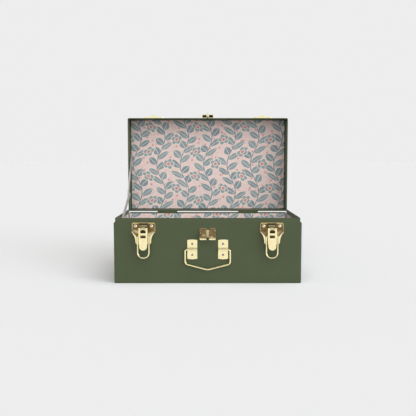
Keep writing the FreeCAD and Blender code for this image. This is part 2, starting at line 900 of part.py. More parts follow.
def stay_base_pivot():
    return vec(0, hinge_y - stay_base_reach, shoulder_height - stay_base_drop)


def stay_lid_pivot():
    """Where the open lid holds the upper arm."""
    rim = hinge_y + rim_height - hinge_z
    return vec(0, rim + stay_lid_depth, hinge_z + stay_lid_reach)


def stay_elbow():
    start = stay_lid_pivot()
    across = stay_base_pivot() - start
    below = vec(1, 0, 0).cross(across).normalize()
    return start + across * stay_elbow_share + below * stay_elbow_sag


def stay_arm(start, end, x0, hole_radii):
    """A flat bar with round ends and a hole at each end."""
    along = (end - start).normalize()
    across = along.cross(vec(1, 0, 0)) * (stay_arm_width / 2)
    tip = along * (stay_arm_width / 2)
    edges = [
        line(start + across, end + across),
        arc(end + across, end + tip, end - across),
        line(end - across, start - across),
        arc(start - across, start - tip, start + across),
    ]
    arm = prism(edges, vec(stay_arm_thickness, 0, 0))
    through = vec(stay_arm_thickness + cut_overrun, 0, 0)
    holes = [rod(p - vec(cut_overrun, 0, 0), p + through, r) for p, r in zip((start, end), hole_radii)]
    arm = drilled(arm, holes)
    arm.translate(vec(x0, 0, 0))
    return arm


def stay_pieces():
    """The arms lie side by side, the upper one inside the lid's hem and the lower one inside the neck."""
    upper_x = -half_width + lid_sheet + hem_sheet + stay_wall_gap
    lower_x = upper_x + stay_arm_thickness + stay_arm_gap
    upper_in = upper_x + stay_arm_thickness
    lower_in = lower_x + stay_arm_thickness
    low = stay_base_pivot()
    high = stay_lid_pivot()
    elbow = stay_elbow()
    loose = stay_pin_radius + running_clearance
    tight = stay_pin_radius + rivet_clearance

    def at(x, point):
        return vec(x, point.y, point.z)

    def disc(point, x0, x1, radius):
        return rod(at(x0, point), at(x1, point), radius)

    elbow_head = lower_in + stay_head_gap
    elbow_rivet = joined(
        [
            disc(elbow, upper_x, elbow_head, stay_pin_radius),
            disc(elbow, elbow_head, elbow_head + stay_head_height, stay_collar_radius),
        ]
    )
    lid_wall = -half_width + lid_sheet
    lid_head = upper_in + stay_head_gap
    lid_stud = joined(
        [
            disc(high, lid_wall, upper_x - stay_head_gap, stay_collar_radius),
            disc(high, upper_x - stay_head_gap, lid_head, stay_pin_radius),
            disc(high, lid_head, lid_head + stay_head_height, stay_collar_radius),
        ]
    )
    base_rivet = joined(
        [
            disc(low, lower_x, lower_in, stay_pin_radius),
            disc(low, lower_in, lower_in + stay_head_height, stay_collar_radius),
        ]
    )
    base_wall = -half_width + base_sheet
    return {
        "stay_upper_arm": stay_arm(high, elbow, upper_x, (loose, tight)),
        "stay_lower_arm": stay_arm(elbow, low, lower_x, (loose, tight)),
        "stay_elbow_rivet": elbow_rivet,
        "stay_lid_stud": lid_stud,
        "stay_base_rivet": base_rivet,
        "stay_base_stud": disc(low, base_wall, lower_x - stay_arm_gap, stay_collar_radius),
    }


def rivet_group(seat_lists, out, length):
    return Part.makeCompound([rivet(seat, out, length) for seats in seat_lists for seat in seats])


def both(seats, spacing, *more):
    """The rivet seats of the left and the right piece that stand so far apart."""
    return [seats(side * spacing / 2, *more) for side in sides.values()]


os.makedirs("parts", exist_ok=True)

export("base_shell", base_shell())
for place, board in base_linings().items():
    export(f"base_lining_{place}", board)
export("lid_shell", swung_open(lid_shell()))
export("lid_lining_panel", swung_open(lid_lining_panel()))

for name, side in sides.items():
    hinge_x = side * hinge_spacing / 2
    to_latch = vec(side * latch_spacing / 2, 0, 0)
    to_clip = vec(side * clip_spacing / 2, 0, 0)
    export(f"hinge_base_leaf_{name}", hinge_leaf(hinge_x, -1))
    export(f"hinge_lid_leaf_{name}", swung_open(hinge_leaf(hinge_x, 1)))
    export(f"hinge_pin_{name}", hinge_pin(hinge_x))
    export(f"latch_plate_{name}", latch_plate().translated(to_latch))
    export(f"latch_pin_{name}", lever_pin().translated(to_latch))
    export(f"latch_lever_{name}", latch_lever().translated(to_latch))
    export(f"latch_loop_{name}", latch_loop().translated(to_latch))
    export(f"latch_strike_{name}", swung_open(latch_strike().translated(to_latch)))
    export(f"handle_clip_{name}", handle_clip().translated(to_clip))

hinge_base_seats = both(hinge_rivet_seats, hinge_spacing, -1)
hinge_lid_seats = both(hinge_rivet_seats, hinge_spacing, 1)
latch_seats = both(latch_rivet_seats, latch_spacing)
clip_seats = both(clip_rivet_seats, clip_spacing)
strike_seats = both(strike_rivet_seats, latch_spacing)
export("hinge_base_rivets", rivet_group(hinge_base_seats, back, hinge_leaf_sheet + base_sheet))
export("hinge_lid_rivets", swung_open(rivet_group(hinge_lid_seats, back, hinge_leaf_sheet + lid_sheet)))
export("latch_plate_rivets", rivet_group(latch_seats, front, latch_rivet_out + base_sheet))
export("handle_rivets", rivet_group(clip_seats, front, clip_sheet + base_sheet))
export("strike_rivets", swung_open(rivet_group(strike_seats, front, strike_sheet + lid_sheet)))
export("hasp_base", hasp_base())
export("hasp_lid", swung_open(hasp_lid()))
export("handle_bail", handle_bail())
for name, piece in stay_pieces().items():
    export(name, piece)
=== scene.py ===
import json
import math

import bmesh
import bpy
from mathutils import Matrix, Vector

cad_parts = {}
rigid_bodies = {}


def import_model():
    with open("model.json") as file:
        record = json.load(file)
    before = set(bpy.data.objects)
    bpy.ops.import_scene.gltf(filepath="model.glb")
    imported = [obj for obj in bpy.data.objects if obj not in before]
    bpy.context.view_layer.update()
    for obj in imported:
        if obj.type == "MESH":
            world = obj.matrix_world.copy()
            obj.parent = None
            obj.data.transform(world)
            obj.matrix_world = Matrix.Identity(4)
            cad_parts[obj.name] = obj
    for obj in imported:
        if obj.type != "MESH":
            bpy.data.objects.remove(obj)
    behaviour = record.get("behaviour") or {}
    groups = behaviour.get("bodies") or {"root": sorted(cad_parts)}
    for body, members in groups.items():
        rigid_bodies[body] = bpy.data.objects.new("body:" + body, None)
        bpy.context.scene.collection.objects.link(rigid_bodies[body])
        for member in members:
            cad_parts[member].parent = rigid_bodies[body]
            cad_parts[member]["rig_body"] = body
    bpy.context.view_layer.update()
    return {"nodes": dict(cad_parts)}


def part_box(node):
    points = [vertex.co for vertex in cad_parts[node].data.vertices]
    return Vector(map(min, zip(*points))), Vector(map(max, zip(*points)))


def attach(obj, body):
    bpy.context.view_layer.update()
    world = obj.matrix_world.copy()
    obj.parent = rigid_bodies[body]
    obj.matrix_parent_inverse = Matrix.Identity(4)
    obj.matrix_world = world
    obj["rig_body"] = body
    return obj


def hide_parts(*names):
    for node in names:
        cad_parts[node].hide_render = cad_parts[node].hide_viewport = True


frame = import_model()

# Base and lid
# Two pans folded from thin sheet steel and welded at the corners, then sprayed a satin olive green inside
# and out. The base has a stepped neck for the lid to drop over, and the lid's rim is hemmed.
SHEET_EDGE = 0.0003
SAME_POINT = 1e-6
FLAT_TURN = math.radians(1)
SHARP_TURN = math.radians(38)
CREASE_TURN = math.radians(50)
EDGE_STEPS = 2
ROUND_PROFILE = 0.5
NOISE_MIDDLE = (0.3, 0.7)
MIX_SHARE = 0
MIX_FIRST = 6
MIX_SECOND = 7
MIX_RESULT = 2
PAINT_GREENS = (0.058, 0.077, 0.036), (0.065, 0.085, 0.041)
PAINT_TONE_GRAIN = (14, 3)
PAINT_HAZE_GRAIN = (60, 4)
PAINT_ROUGHNESS = (0.38, 0.46)
PAINT_GLOSS = 0.3
PEEL_GRAIN = (900, 2)
PEEL_STRENGTH = 0.04
PEEL_DEPTH = 0.0004


def eased_copy(node, edge_round):
    """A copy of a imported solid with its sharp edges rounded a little, as making and finishing leave them."""
    form = bmesh.new()
    form.from_mesh(frame["nodes"][node].data)
    bmesh.ops.remove_doubles(form, verts=form.verts, dist=SAME_POINT)
    bmesh.ops.dissolve_limit(form, angle_limit=FLAT_TURN, verts=form.verts, edges=form.edges)
    sharp = [edge for edge in form.edges if edge.is_manifold and edge.calc_face_angle() > SHARP_TURN]
    bmesh.ops.bevel(
        form,
        geom=sharp,
        offset=edge_round,
        segments=EDGE_STEPS,
        profile=ROUND_PROFILE,
        affect="EDGES",
        clamp_overlap=True,
    )
    for face in form.faces:
        face.smooth = True
    for edge in form.edges:
        edge.smooth = not (edge.is_manifold and edge.calc_face_angle() > CREASE_TURN)
    mesh = bpy.data.meshes.new(f"{node}_shown")
    form.to_mesh(mesh)
    form.free()
    return mesh


def dress(node, finish, edge_round):
    """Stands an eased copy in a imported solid's place, on the same body."""
    piece = bpy.data.objects.new(f"{node}_shown", eased_copy(node, edge_round))
    bpy.context.scene.collection.objects.link(piece)
    piece.data.materials.append(finish)
    piece.modifiers.new("flat faces", "WEIGHTED_NORMAL").keep_sharp = True
    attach(piece, frame["nodes"][node]["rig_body"])
    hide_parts(node)
    return piece


def new_finish(name):
    """A material with its node tree, its shader and its place on the object in metres."""
    finish = bpy.data.materials.new(name)
    finish.use_nodes = True
    tree = finish.node_tree
    place = tree.nodes.new("ShaderNodeTexCoord").outputs["Object"]
    return finish, tree, tree.nodes["Principled BSDF"], place


def grain(tree, place, patches, detail):
    """Soft random patches, so many to a metre, broken up by so many finer layers."""
    noise = tree.nodes.new("ShaderNodeTexNoise")
    noise.inputs["Scale"].default_value = patches
    noise.inputs["Detail"].default_value = detail
    tree.links.new(place, noise.inputs["Vector"])
    return noise.outputs["Fac"]


def spread(tree, value, low, high):
    """Maps a noise's middle range to the range that a finish needs."""
    node = tree.nodes.new("ShaderNodeMapRange")
    node.inputs["From Min"].default_value = NOISE_MIDDLE[0]
    node.inputs["From Max"].default_value = NOISE_MIDDLE[1]
    node.inputs["To Min"].default_value = low
    node.inputs["To Max"].default_value = high
    tree.links.new(value, node.inputs["Value"])
    return node.outputs["Result"]


def set_or_link(tree, socket, value):
    """Gives a socket a plain value, or the result of another node."""
    if isinstance(value, bpy.types.NodeSocket):
        tree.links.new(value, socket)
    else:
        socket.default_value = value


def blend_colours(tree, share, first, second):
    """The first colour where the share is 0, the second where it is 1."""
    mix = tree.nodes.new("ShaderNodeMix")
    mix.data_type = "RGBA"
    set_or_link(tree, mix.inputs[MIX_SHARE], share)
    for which, colour in ((MIX_FIRST, first), (MIX_SECOND, second)):
        set_or_link(tree, mix.inputs[which], (*colour, 1) if isinstance(colour, tuple) else colour)
    return mix.outputs[MIX_RESULT]


def roughen(tree, shader, height, strength, depth):
    """Makes a surface catch the light as if it rose and fell by a depth in metres."""
    bump = tree.nodes.new("ShaderNodeBump")
    bump.inputs["Strength"].default_value = strength
    bump.inputs["Distance"].default_value = depth
    tree.links.new(height, bump.inputs["Height"])
    tree.links.new(bump.outputs["Normal"], shader.inputs["Normal"])


def coating(name, colours, tone_grain, roughness, haze_grain):
    """A finish that drifts a little between two colours, and between two degrees of polish."""
    finish, tree, shader, place = new_finish(name)
    tone = spread(tree, grain(tree, place, *tone_grain), 0, 1)
    tree.links.new(blend_colours(tree, tone, *colours), shader.inputs["Base Color"])
    haze = spread(tree, grain(tree, place, *haze_grain), *roughness)
    tree.links.new(haze, shader.inputs["Roughness"])
    return finish, tree, shader, place


def olive_paint():
    """Satin spray paint with a faint orange peel and slight unevenness of tone."""
    finish, tree, shader, place = coating(
        "olive_paint", PAINT_GREENS, PAINT_TONE_GRAIN, PAINT_ROUGHNESS, PAINT_HAZE_GRAIN
    )
    shader.inputs["Specular IOR Level"].default_value = PAINT_GLOSS
    roughen(tree, shader, grain(tree, place, *PEEL_GRAIN), PEEL_STRENGTH, PEEL_DEPTH)
    return finish


olive = olive_paint()
for shell in ("base_shell", "lid_shell"):
    dress(shell, olive, SHEET_EDGE)

# Hinges
# Two butt hinges of folded steel on the back, riveted to the base and to the lid and sprayed with them.
# Each has two knuckles on the base's leaf, one on the lid's, and a plain pin through all three.
HINGE_EDGE = 0.0002

for side in ("left", "right"):
    for piece_name in ("hinge_base_leaf", "hinge_lid_leaf", "hinge_pin"):
        dress(f"{piece_name}_{side}", olive, HINGE_EDGE)
for row in ("hinge_base_rivets", "hinge_lid_rivets"):
    dress(row, olive, HINGE_EDGE)

# Lining
# Thin greyboard glued against the steel, on the lid's panel alone and on the base's floor and four walls.
# It is covered with paper printed in a trailing leaf pattern, whose sizes are in millimetres.
BOARD_EDGE = 0.0003
X, Y, Z = 0, 1, 2
MILLIMETRES_IN_METRE = 1000.0
VINE_SPACING = 50.0
VINE_WAVE = 118.0
VINE_SWAY = 9.0
VINE_STAGGER = 7.0
LEAF_GAP = 21.0
LEAF_FOOT_SHARE = 0.16
LEAF_LENGTH = 28.0
LEAF_SHORTEST_SHARE = 0.8
LEAF_LENGTH_PLAY = 0.25
LEAF_HALF_WIDTH = 6.2
LEAF_BLUNTNESS = 0.85
LEAF_LEAN = math.radians(50)
LEAF_LEAN_PLAY = 0.3
VEIN_SPACING = 3.4
VEIN_SHARES = (0.3, 0.1)
VEIN_STRENGTH = 0.45
MIDRIB_EDGE = (0.55, 0.25)
STEM_EDGE = (1.1, 0.7)
LANE_MIDDLE = 0.5
BLOSSOM_GAP = 52.0
BLOSSOM_STAGGER = 0.5
BLOSSOM_RADIUS = 11.0
BLOSSOM_SEED = 5.0
PETALS = 5
PETAL_SHARE = 0.55
PETAL_BLUNTNESS = 0.6
STREAKS = 30
STREAK_SHARES = (0.35, 0.1)
STREAK_STRENGTH = 0.4
EYE_RING_EDGE = (5.2, 4.6)
EYE_EDGE = (3.7, 3.1)
BERRY_SPACING = 17.0
BERRY_EDGE = (2.7, 1.7)
BERRY_STRENGTH = 0.8
PRINT_EDGE = (-0.25, 0.25)
LEAF_RIM = (-2.0, -1.4)
BLOSSOM_RIM = (-1.9, -1.3)
RIM_STRENGTH = 0.5
RIM_DOT_STRENGTH = 0.4
DOTS_PER_METRE = 560
DOT_EDGE = (0.42, 0.22)
DOT_STRENGTH = 0.6
INK_THINNEST = 0.90
INK_PLAY = 0.16
PAPER_HAZE_GRAIN = (300, 3)
PAPER_ROUGHNESS = (0.62, 0.74)
PAPER_TOOTH_GRAIN = (1500, 3)
PAPER_TOOTH_STRENGTH = 0.08
PAPER_TOOTH_DEPTH = 0.0003
GROUND = (0.80, 0.63, 0.61)
GROUND_FLECK = (0.86, 0.79, 0.72)
LEAF_BLUE = (0.165, 0.255, 0.305)
LEAF_PALE = (0.250, 0.345, 0.385)
CREAM = (0.84, 0.77, 0.68)
ROSE = (0.66, 0.27, 0.28)


def sums(tree):
    """A short way to write sums in a node tree: it adds a Math node and gives its result."""

    def total(operation, *values):
        node = tree.nodes.new("ShaderNodeMath")
        node.operation = operation
        for socket, value in zip(node.inputs, values):
            set_or_link(tree, socket, value)
        return node.outputs[0]

    return total


def chance(tree, first, second, third):
    """Three random numbers that stay the same for the same three counts."""
    counts = tree.nodes.new("ShaderNodeCombineXYZ")
    for socket, value in zip(counts.inputs, (first, second, third)):
        set_or_link(tree, socket, value)
    noise = tree.nodes.new("ShaderNodeTexWhiteNoise")
    tree.links.new(counts.outputs[0], noise.inputs["Vector"])
    parts = tree.nodes.new("ShaderNodeSeparateColor")
    tree.links.new(noise.outputs["Color"], parts.inputs[0])
    return parts.outputs


def soft_step(tree, value, edge):
    """Rises from 0 to 1 between the two values of an edge."""
    node = tree.nodes.new("ShaderNodeMapRange")
    node.interpolation_type = "SMOOTHSTEP"
    node.inputs["From Min"].default_value = edge[0]
    node.inputs["From Max"].default_value = edge[1]
    tree.links.new(value, node.inputs["Value"])
    return node.outputs["Result"]


def leaf_places(tree, across, up):
    """Leaves to both sides of waving vines: a place's distance from the stem, along and over its leaf."""
    total = sums(tree)
    vine = total("ROUND", total("DIVIDE", across, VINE_SPACING))
    off_stem = total("SUBTRACT", across, total("MULTIPLY", vine, VINE_SPACING))
    side_of_stem = total("GREATER_THAN", off_stem, 0.0)
    off_stem = total("ABSOLUTE", off_stem)
    other_side = total("MULTIPLY", side_of_stem, LEAF_GAP / 2)
    shift = total("ADD", other_side, total("MULTIPLY", vine, VINE_STAGGER))
    step = total("DIVIDE", total("ADD", up, shift), LEAF_GAP)
    count = total("FLOOR", step)
    past_foot = total("SUBTRACT", total("SUBTRACT", step, count), LEAF_FOOT_SHARE)
    rise = total("MULTIPLY", past_foot, LEAF_GAP)
    luck = chance(tree, vine, count, side_of_stem)
    lean = total("ADD", total("MULTIPLY", luck[0], LEAF_LEAN_PLAY), LEAF_LEAN - LEAF_LEAN_PLAY / 2)
    sine = total("SINE", lean)
    cosine = total("COSINE", lean)
    along = total("ADD", total("MULTIPLY", off_stem, sine), total("MULTIPLY", rise, cosine))
    over = total("SUBTRACT", total("MULTIPLY", off_stem, cosine), total("MULTIPLY", rise, sine))
    return off_stem, along, over, luck


def inside_leaf(tree, along, over, length_luck):
    """How far inside its pointed leaf a place is, negative outside it."""
    total = sums(tree)
    length_share = total("ADD", total("MULTIPLY", length_luck, LEAF_LENGTH_PLAY), LEAF_SHORTEST_SHARE)
    length = total("MULTIPLY", length_share, LEAF_LENGTH)
    share = total("MINIMUM", total("MAXIMUM", total("DIVIDE", along, length), 0.0), 1.0)
    bulge = total("POWER", total("SINE", total("MULTIPLY", share, math.pi)), LEAF_BLUNTNESS)
    before = total("MAXIMUM", total("MULTIPLY", along, -1.0), 0.0)
    after = total("MAXIMUM", total("SUBTRACT", along, length), 0.0)
    width = total("SUBTRACT", total("MULTIPLY", bulge, LEAF_HALF_WIDTH), total("ADD", before, after))
    return total("SUBTRACT", width, total("ABSOLUTE", over))


def leaf_ink(tree, along, over, shade):
    """Blue with a cream midrib and fainter slanting veins."""
    total = sums(tree)
    off_midrib = total("ABSOLUTE", over)
    blue = blend_colours(tree, shade, LEAF_BLUE, LEAF_PALE)
    veins = total("FRACT", total("DIVIDE", total("SUBTRACT", along, off_midrib), VEIN_SPACING))
    vein_share = total("MULTIPLY", soft_step(tree, veins, VEIN_SHARES), VEIN_STRENGTH)
    blue = blend_colours(tree, vein_share, blue, CREAM)
    return blend_colours(tree, soft_step(tree, off_midrib, MIDRIB_EDGE), blue, CREAM)


def blossom_places(tree, across, up):
    """Blossoms in the lanes between the vines: a place's distance from the middle, and its direction."""
    total = sums(tree)
    lane = total("FLOOR", total("DIVIDE", across, VINE_SPACING))
    step = total("ADD", total("DIVIDE", up, BLOSSOM_GAP), total("MULTIPLY", lane, BLOSSOM_STAGGER))
    count = total("ROUND", step)
    lane_middle = total("MULTIPLY", total("ADD", lane, LANE_MIDDLE), VINE_SPACING)
    from_lane = total("SUBTRACT", across, lane_middle)
    from_step = total("MULTIPLY", total("SUBTRACT", step, count), BLOSSOM_GAP)
    turn = total("MULTIPLY", chance(tree, lane, count, BLOSSOM_SEED)[0], 2 * math.pi)
    heading = total("ADD", total("ARCTAN2", from_step, from_lane), turn)
    squares = total("ADD", total("POWER", from_lane, 2.0), total("POWER", from_step, 2.0))
    return total("SQRT", squares), heading


def inside_petals(tree, from_middle, heading):
    """How far inside the lobed outline of its blossom a place is, negative outside it."""
    total = sums(tree)
    wave = total("ABSOLUTE", total("COSINE", total("MULTIPLY", heading, PETALS / 2)))
    lobe = total("POWER", wave, PETAL_BLUNTNESS)
    reach = total("ADD", total("MULTIPLY", lobe, PETAL_SHARE), 1 - PETAL_SHARE)
    return total("SUBTRACT", total("MULTIPLY", reach, BLOSSOM_RADIUS), from_middle)


def blossom_ink(tree, from_middle, heading):
    """Streaked petals round a rose eye in a cream ring."""
    total = sums(tree)
    rays = total("FRACT", total("MULTIPLY", heading, STREAKS / (2 * math.pi)))
    streak = total("MULTIPLY", soft_step(tree, rays, STREAK_SHARES), STREAK_STRENGTH)
    ink = blend_colours(tree, streak, LEAF_PALE, CREAM)
    ink = blend_colours(tree, soft_step(tree, from_middle, EYE_RING_EDGE), ink, CREAM)
    return blend_colours(tree, soft_step(tree, from_middle, EYE_EDGE), ink, ROSE)


def from_berry(tree, across, up):
    """A place's distance from the nearest of the loose berries."""
    berries = tree.nodes.new("ShaderNodeTexVoronoi")
    berries.voronoi_dimensions = "2D"
    berries.inputs["Scale"].default_value = 1 / BERRY_SPACING
    sheet = tree.nodes.new("ShaderNodeCombineXYZ")
    tree.links.new(across, sheet.inputs[0])
    tree.links.new(up, sheet.inputs[1])
    tree.links.new(sheet.outputs[0], berries.inputs["Vector"])
    return sums(tree)("MULTIPLY", berries.outputs["Distance"], BERRY_SPACING)


def stipple(tree, place):
    """Fine printed dots, and a random number for each."""
    cells = tree.nodes.new("ShaderNodeTexVoronoi")
    cells.inputs["Scale"].default_value = DOTS_PER_METRE
    tree.links.new(place, cells.inputs["Vector"])
    luck = tree.nodes.new("ShaderNodeSeparateColor")
    tree.links.new(cells.outputs["Color"], luck.inputs[0])
    return soft_step(tree, cells.outputs["Distance"], DOT_EDGE), luck.outputs[0]


def printed_paper(name, across_axis, up_axis):
    """Waving vines with leaves to both sides, blossoms between them and loose berries, in a fine stipple."""
    finish, tree, shader, place = new_finish(name)
    total = sums(tree)
    axes = tree.nodes.new("ShaderNodeSeparateXYZ")
    tree.links.new(place, axes.inputs[0])
    up = total("MULTIPLY", axes.outputs[up_axis], MILLIMETRES_IN_METRE)
    sway = total("MULTIPLY", total("SINE", total("MULTIPLY", up, 2 * math.pi / VINE_WAVE)), VINE_SWAY)
    across = total("SUBTRACT", total("MULTIPLY", axes.outputs[across_axis], MILLIMETRES_IN_METRE), sway)
    off_stem, along, over, luck = leaf_places(tree, across, up)
    leaf = inside_leaf(tree, along, over, luck[1])
    from_middle, heading = blossom_places(tree, across, up)
    petal = inside_petals(tree, from_middle, heading)
    dots, dot_luck = stipple(tree, place)

    colour = blend_colours(tree, total("MULTIPLY", dots, DOT_STRENGTH), GROUND, GROUND_FLECK)
    berry = soft_step(tree, from_berry(tree, across, up), BERRY_EDGE)
    colour = blend_colours(tree, total("MULTIPLY", berry, BERRY_STRENGTH), colour, ROSE)
    rim_strength = total("ADD", total("MULTIPLY", dots, RIM_DOT_STRENGTH), RIM_STRENGTH)
    rim = total("MULTIPLY", soft_step(tree, leaf, LEAF_RIM), rim_strength)
    colour = blend_colours(tree, rim, colour, CREAM)
    colour = blend_colours(tree, soft_step(tree, off_stem, STEM_EDGE), colour, LEAF_BLUE)
    blue = leaf_ink(tree, along, over, luck[2])
    colour = blend_colours(tree, soft_step(tree, leaf, PRINT_EDGE), colour, blue)
    colour = blend_colours(tree, soft_step(tree, petal, BLOSSOM_RIM), colour, CREAM)
    blossom = blossom_ink(tree, from_middle, heading)
    colour = blend_colours(tree, soft_step(tree, petal, PRINT_EDGE), colour, blossom)

    ink = total("ADD", total("MULTIPLY", dot_luck, INK_PLAY), INK_THINNEST)
    inked = tree.nodes.new("ShaderNodeVectorMath")
    inked.operation = "SCALE"
    tree.links.new(colour, inked.inputs[0])
    tree.links.new(ink, inked.inputs["Scale"])
    tree.links.new(inked.outputs[0], shader.inputs["Base Color"])
    haze = spread(tree, grain(tree, place, *PAPER_HAZE_GRAIN), *PAPER_ROUGHNESS)
    tree.links.new(haze, shader.inputs["Roughness"])
    tooth = grain(tree, place, *PAPER_TOOTH_GRAIN)
    roughen(tree, shader, tooth, PAPER_TOOTH_STRENGTH, PAPER_TOOTH_DEPTH)
    return finish


upright_paper = printed_paper("lining_upright", X, Z)
side_paper = printed_paper("lining_side", Y, Z)
flat_paper = printed_paper("lining_flat", X, Y)
papers = {
    "base_lining_floor": flat_paper,
    "base_lining_front": upright_paper,
    "base_lining_back": upright_paper,
    "base_lining_left": side_paper,
    "base_lining_right": side_paper,
    "lid_lining_panel": upright_paper,
}
for board, paper in papers.items():
    dress(board, paper, BOARD_EDGE)

# Latches, hasp and handle
# Stampings of thin brass-plated steel, barrel-polished before plating, and the wire bail and loops bent from
# plated rod. The plates are riveted through the wall, the hasp halves are clinched by tabs.
STAMPING_EDGE = 0.00025
WIRE_EDGE = 0.0001
WIRE_ACROSS = 0.0026
CHANNEL_DEPTH = 0.0016
PLATE_BORDER = 0.0016
BORDER_OUT = 0.0030
BORDER_SLACK = 0.00001
HASP_GAP = 0.0044
HASP_SHEET = 0.0010
BRASS_TONES = (0.92, 0.81, 0.45), (0.97, 0.89, 0.555)
BRASS_TONE_GRAIN = (90, 3)
BRASS_HAZE_GRAIN = (240, 4)
MIRROR_POLISH = (0.10, 0.18)
SATIN_POLISH = (0.20, 0.31)
SMALL_RIPPLES = (120, 1)
SMALL_RIPPLE_DEPTH = 0.0002
PLATE_RIPPLES = (46, 1)
PLATE_RIPPLE_DEPTH = 0.0017
HASP_RIPPLES = (122, 1)
HASP_RIPPLE_DEPTH = 0.0011
# Painted shade: nearly black brown for the channels behind the levers and the loops' tops inside them.
DEEP_SHADE_TONES = (0.085, 0.055, 0.028), (0.150, 0.098, 0.048)
# Painted shade: a dull darker brass for the front face of the latch plates' borders.
BORDER_SHADE_TONES = (0.35, 0.28, 0.14), (0.45, 0.37, 0.20)
# Painted shade: a darker brass for the plate between the hasp's two bridges.
GAP_SHADE_TONES = (0.60, 0.50, 0.28), (0.72, 0.61, 0.36)
STAIN_GRAIN = (160, 4)
STAIN_HAZE_GRAIN = (300, 4)
STAIN_ROUGHNESS = (0.34, 0.48)


def brass_plate(name, polish, ripples, ripple_depth):
    """Pale brass plating with faint polishing haze, on metal that pressing has left a little wavy."""
    finish, tree, shader, place = coating(name, BRASS_TONES, BRASS_TONE_GRAIN, polish, BRASS_HAZE_GRAIN)
    shader.inputs["Metallic"].default_value = 1
    roughen(tree, shader, grain(tree, place, *ripples), 1, ripple_depth)
    return finish


def shaded_brass_copy(name, tones):
    """The same plating painted darker: painted shade for faces that lie in shadow."""
    finish, _, shader, _ = coating(name, tones, STAIN_GRAIN, STAIN_ROUGHNESS, STAIN_HAZE_GRAIN)
    shader.inputs["Metallic"].default_value = 1
    return finish


def tone_faces(piece, finish, low, high):
    """Gives another finish to the faces whose middles lie between two corners."""
    finishes = piece.data.materials
    if finish.name not in finishes:
        finishes.append(finish)
    for face in piece.data.polygons:
        if all(least < middle < most for least, middle, most in zip(low, face.center, high)):
            face.material_index = finishes.find(finish.name)


brass = brass_plate("bright_brass", MIRROR_POLISH, SMALL_RIPPLES, SMALL_RIPPLE_DEPTH)
stamped = brass_plate("stamped_brass", MIRROR_POLISH, PLATE_RIPPLES, PLATE_RIPPLE_DEPTH)
satin = brass_plate("satin_brass", SATIN_POLISH, HASP_RIPPLES, HASP_RIPPLE_DEPTH)
deep_shade = shaded_brass_copy("deep_shade_brass", DEEP_SHADE_TONES)
border_shade = shaded_brass_copy("border_shade_brass", BORDER_SHADE_TONES)
gap_shade = shaded_brass_copy("gap_shade_brass", GAP_SHADE_TONES)
front_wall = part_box("base_shell")[0][Y]
border_face = front_wall - BORDER_OUT
for side in ("left", "right"):
    for piece_name in ("latch_lever", "latch_strike", "handle_clip"):
        dress(f"{piece_name}_{side}", brass, STAMPING_EDGE)
    dress(f"latch_pin_{side}", brass, WIRE_EDGE)
    plate = dress(f"latch_plate_{side}", stamped, STAMPING_EDGE)
    loop = dress(f"latch_loop_{side}", brass, WIRE_EDGE)
    lever_low, lever_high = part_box(f"latch_lever_{side}")
    plate_low, plate_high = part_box(f"latch_plate_{side}")
    loop_low, loop_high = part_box(f"latch_loop_{side}")
    # Painted shade: the plate's faces in the channel behind the lever turn nearly black brown.
    tone_faces(
        plate,
        deep_shade,
        (lever_low[X], plate_high[Y] - CHANNEL_DEPTH, plate_low[Z]),
        (lever_high[X], plate_high[Y], plate_high[Z] - PLATE_BORDER),
    )
    # Painted shade: the front face of the plate's border turns a dull darker brass.
    tone_faces(
        plate,
        border_shade,
        (plate_low[X], border_face - BORDER_SLACK, plate_low[Z]),
        (plate_high[X], border_face + BORDER_SLACK, plate_high[Z]),
    )
    # Painted shade: the loop's top, inside the lever, turns nearly black brown.
    tone_faces(
        loop,
        deep_shade,
        (lever_low[X], loop_low[Y], loop_high[Z] - WIRE_ACROSS),
        (lever_high[X], loop_high[Y], loop_high[Z]),
    )
dress("handle_bail", brass, WIRE_EDGE)
dress("hasp_lid", satin, STAMPING_EDGE)
bridges = dress("hasp_base", satin, STAMPING_EDGE)
hasp_low, hasp_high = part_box("hasp_base")
# Painted shade: the plate in the gap between the hasp's bridges turns a darker brass.
tone_faces(
    bridges,
    gap_shade,
    (-HASP_GAP / 2, front_wall - HASP_SHEET - BORDER_SLACK, hasp_low[Z]),
    (HASP_GAP / 2, front_wall, hasp_high[Z]),
)

# Rivets and lid stay
# Low domed rivets of nickel-plated steel through the latch plates, strikes and handle clips, and a folding
# stay of two zinc-plated flat bars with a riveted elbow, which stops the open lid at a right angle.
RIVET_EDGE = 0.0001
BAR_EDGE = 0.0002
NICKEL_TONES = (0.70, 0.69, 0.66), (0.80, 0.79, 0.76)
# Painted shade: the same nickel made darker, for the handle rivets' shaded look.
SHADED_NICKEL_TONES = (0.30, 0.29, 0.29), (0.42, 0.41, 0.40)
NICKEL_ROUGHNESS = (0.14, 0.24)
ZINC_TONES = (0.46, 0.46, 0.44), (0.58, 0.58, 0.56)
ZINC_ROUGHNESS = (0.36, 0.48)
ZINC_BARE_SHARE = 0.5
PLATING_TONE_GRAIN = (120, 3)
PLATING_HAZE_GRAIN = (260, 4)
PLATING_GRAIN = (1200, 2)
PLATING_STRENGTH = 0.03
PLATING_DEPTH = 0.0002


def steel_plating(name, tones, bare_share, roughness):
    """Grey plating: bare metal where its bare share is 1, clouded by a pale bloom where it is less."""
    finish, tree, shader, place = coating(name, tones, PLATING_TONE_GRAIN, roughness, PLATING_HAZE_GRAIN)
    shader.inputs["Metallic"].default_value = bare_share
    roughen(tree, shader, grain(tree, place, *PLATING_GRAIN), PLATING_STRENGTH, PLATING_DEPTH)
    return finish


nickel = steel_plating("nickel_plate", NICKEL_TONES, 1, NICKEL_ROUGHNESS)
